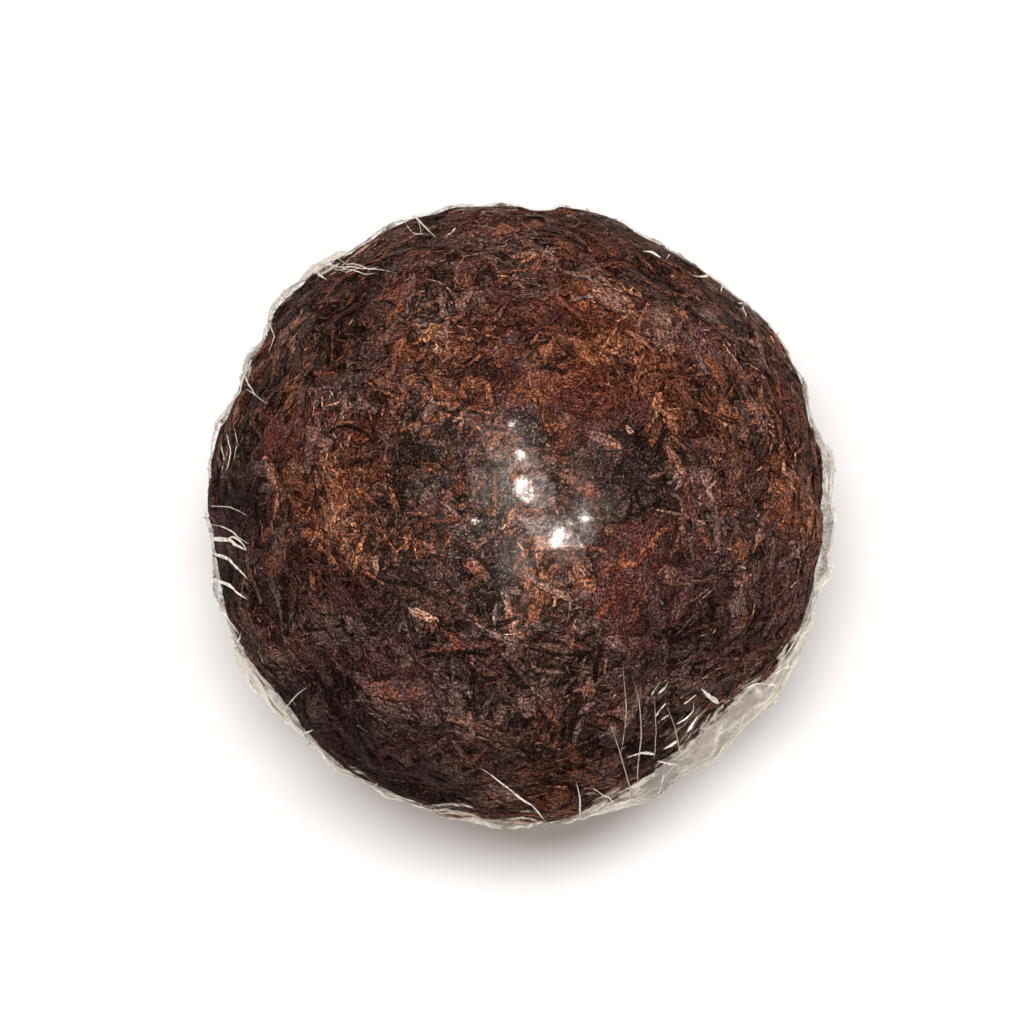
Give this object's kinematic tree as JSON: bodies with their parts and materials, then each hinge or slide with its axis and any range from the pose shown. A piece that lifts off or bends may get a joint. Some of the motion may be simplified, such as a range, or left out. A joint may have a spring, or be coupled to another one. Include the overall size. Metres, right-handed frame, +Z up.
{
  "type": "mushroom-shaped compressed tea",
  "caption": "Mushroom of pressed dark tea leaf with a domed cap on a short stem, wrapped in clear film that is pleated round the rim.",
  "frame": {"origin": "centre of the stem's flat foot, on the surface that the tea stands on", "axes": "+Z up along the stem to the crown of the cap; seen from above, +Y points to the top of the picture and +X to its right"},
  "size_m": [0.1021, 0.1018, 0.0873],
  "materials": {
    "tea_leaf": "matt pressed leaf, dark brown with red-brown flakes",
    "clear_film": "clear glossy wrapping film with pale creases"
  },
  "bodies": {
    "root": {"tea": "tea_leaf", "film": "clear_film"}
  },
  "joints": []
}
